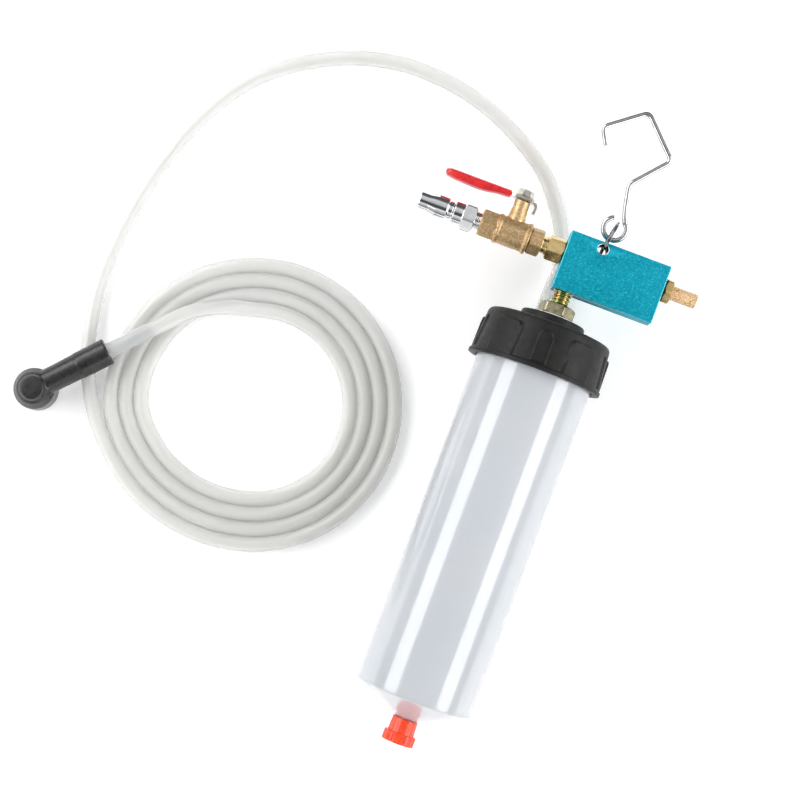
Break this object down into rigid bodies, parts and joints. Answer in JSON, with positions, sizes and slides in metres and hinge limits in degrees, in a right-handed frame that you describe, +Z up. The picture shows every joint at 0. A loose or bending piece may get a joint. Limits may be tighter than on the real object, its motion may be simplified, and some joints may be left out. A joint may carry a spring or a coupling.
{
  "type": "brake fluid vacuum extractor",
  "caption": "Compressed-air vacuum fluid extractor: clear screw-on barrel, ejector block with ball valve and silencer, hanging hook and a long clear hose with a rubber bleeder adapter.",
  "frame": {"origin": "middle of the footprint of the rigid object (everything but the hose and what is on it), on the surface it lies on", "axes": "+Y along the barrel from the drain cap to the hook, +X along the air line from the air plug to the silencer, +Z up out of the surface"},
  "size_m": [0.318, 0.3502, 0.0716],
  "materials": {
    "frosted_barrel": "frosted translucent polypropylene with soft moulded gloss",
    "black_cap": "fine-textured moulded black plastic",
    "black_rubber": "smooth moulded black rubber",
    "orange_plastic": "glossy moulded orange plastic",
    "white_seal": "matt white sealing plastic",
    "zinc_steel": "zinc-plated steel with a pale yellow tint",
    "passivated_steel": "yellow passivated zinc thread",
    "teal_aluminium": "fine-blasted teal anodised aluminium with bright edges",
    "turned_brass": "turned brass with machining lines",
    "cast_brass": "hot-pressed brass with a grainy skin",
    "sintered_bronze": "porous sintered bronze granules",
    "chrome_plate": "bright chrome plate",
    "bright_wire": "bright plated steel wire",
    "nickel_plate": "nickel-plated pressed steel",
    "red_vinyl": "dipped red vinyl with a soft gloss",
    "clear_hose": "milky translucent hose with a waxy surface",
    "barb_metal": "satin metal barb with a blue-grey tint"
  },
  "bodies": {
    "pump": {"screw_cap": "black_cap", "boss_washer": "white_seal", "top_nut": "zinc_steel", "under_nut": "zinc_steel", "suction_stem": "passivated_steel", "ejector_block": "teal_aluminium", "jet_nozzle": "turned_brass", "diffuser": "turned_brass", "silencer_seal": "black_rubber", "silencer_body": "turned_brass", "silencer_element": "sintered_bronze", "hex_nipple": "turned_brass", "valve_body": "cast_brass", "valve_end_cap": "cast_brass", "valve_seats": "white_seal", "stem_seal": "white_seal", "air_plug": "chrome_plate", "hose_grommet": "black_rubber", "hose_lead": "clear_hose", "hose_coil": "clear_hose", "hose_end": "clear_hose", "adapter_barb": "barb_metal", "bleeder_adapter": "black_rubber"},
    "gasket": {"cap_gasket": "black_rubber"},
    "barrel": {"barrel": "frosted_barrel"},
    "drain_seal": {"drain_seal": "white_seal"},
    "drain_cap": {"drain_cap": "orange_plastic"},
    "lever": {"valve_stem": "turned_brass", "valve_ball": "chrome_plate", "lever_arm": "nickel_plate", "lever_grip": "red_vinyl", "lever_nut": "nickel_plate"},
    "ring": {"split_ring": "bright_wire"},
    "hook": {"hook": "bright_wire"}
  },
  "joints": [
    {"name": "barrel_unscrew", "type": "slide", "parent": "pump", "child": "gasket", "axis": [0, -1, 0], "range_m": [0, 0.0151]},
    {"name": "barrel_turn", "type": "hinge", "parent": "gasket", "child": "barrel", "pos_m": [0.01025, 0.02689, 0.0358], "axis": [0, -1, 0], "range_deg": [0, 1080]},
    {"name": "drain_unscrew", "type": "slide", "parent": "barrel", "child": "drain_seal", "axis": [0, -1, 0], "range_m": [0, 0.0061]},
    {"name": "drain_turn", "type": "hinge", "parent": "drain_seal", "child": "drain_cap", "pos_m": [0.01025, -0.16811, 0.0358], "axis": [0, -1, 0], "range_deg": [0, 1080]},
    {"name": "lever_turn", "type": "hinge", "parent": "pump", "child": "lever", "pos_m": [-0.02575, 0.0904, 0.0358], "axis": [0, 1, 0], "range_deg": [0, 90]},
    {"name": "ring_swing", "type": "hinge", "parent": "pump", "child": "ring", "pos_m": [0.02145, 0.0981, 0.0358], "axis": [0, 0, 1], "range_deg": [-18, 30]},
    {"name": "hook_swing", "type": "hinge", "parent": "ring", "child": "hook", "pos_m": [0.0244, 0.11482, 0.0358], "axis": [0, 0, 1], "range_deg": [-50, 25]}
  ],
  "couplings": [
    {"joint": "barrel_unscrew", "follows": "barrel_turn", "m_per_rad": 0.00079577},
    {"joint": "drain_unscrew", "follows": "drain_turn", "m_per_rad": 0.00031831}
  ]
}
